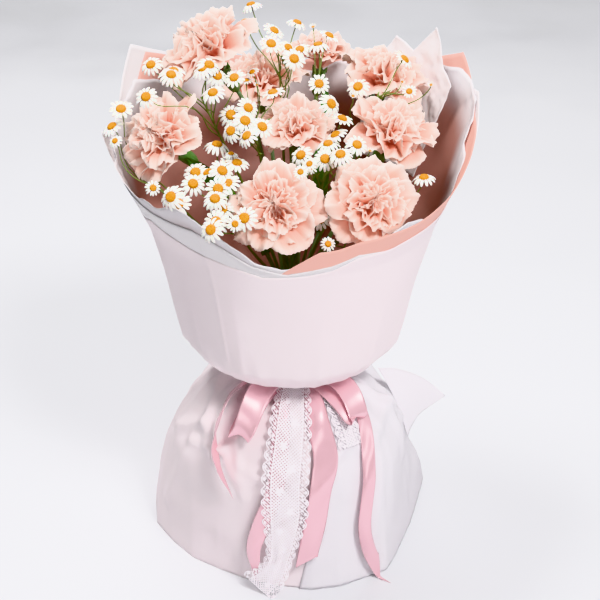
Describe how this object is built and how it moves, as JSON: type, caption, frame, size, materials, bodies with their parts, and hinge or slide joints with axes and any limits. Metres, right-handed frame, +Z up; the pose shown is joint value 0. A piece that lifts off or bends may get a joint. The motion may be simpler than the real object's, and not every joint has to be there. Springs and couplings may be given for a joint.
{
  "type": "bunch of carnations",
  "caption": "Hand-tied bunch of peach carnations with chamomile sprays in flared paper wrap, tied with a satin bow and a lace ribbon, standing on its stem ends and paper foot.",
  "frame": {"origin": "on the table, in the middle of the cut end of the central stem", "axes": "+Z up along the stems, -Y to the front, where the bow is"},
  "size_m": [0.3259, 0.3266, 0.5015],
  "materials": {
    "petal": "soft, ruffled, peach pink",
    "stem": "matte green",
    "chamomile": "matte, white rays and yellow discs on green pedicels",
    "twine": "matte",
    "tissue": "thin, crumpled, grey pink",
    "peach": "matte",
    "film": "frosted, translucent",
    "outer": "matte, pale pink",
    "white": "matte, white",
    "satin": "satin sheen, rose pink",
    "lace": "open lace, off-white"
  },
  "bodies": {
    "root": {"carnation_bloom_1": "petal", "carnation_stem_1": "stem", "carnation_bloom_2": "petal", "carnation_stem_2": "stem", "carnation_bloom_3": "petal", "carnation_stem_3": "stem", "carnation_bloom_4": "petal", "carnation_stem_4": "stem", "carnation_bloom_5": "petal", "carnation_stem_5": "stem", "carnation_bloom_6": "petal", "carnation_stem_6": "stem", "carnation_bloom_7": "petal", "carnation_stem_7": "stem", "carnation_bloom_8": "petal", "carnation_stem_8": "stem", "carnation_bloom_9": "petal", "carnation_stem_9": "stem", "chamomile_spray_1": "chamomile", "chamomile_spray_2": "chamomile", "chamomile_spray_3": "chamomile", "chamomile_spray_4": "chamomile", "chamomile_spray_5": "chamomile", "chamomile_spray_6": "chamomile", "chamomile_spray_7": "chamomile", "chamomile_spray_8": "chamomile", "chamomile_spray_9": "chamomile", "stem_tie": "twine", "wrap_tissue": "tissue", "wrap_peach": "peach", "wrap_film": "film", "wrap_outer": "outer", "wrap_crumpled": "tissue", "skirt_left": "outer", "skirt_right": "white", "ribbon_band": "satin", "ribbon_knot": "satin", "ribbon_loop_left": "satin", "ribbon_loop_right": "satin", "ribbon_tail_1": "satin", "ribbon_tail_2": "satin", "ribbon_tail_3": "satin", "ribbon_tail_4": "satin", "lace_end": "lace", "lace_tail": "lace", "lace_knot": "lace"}
  },
  "joints": []
}
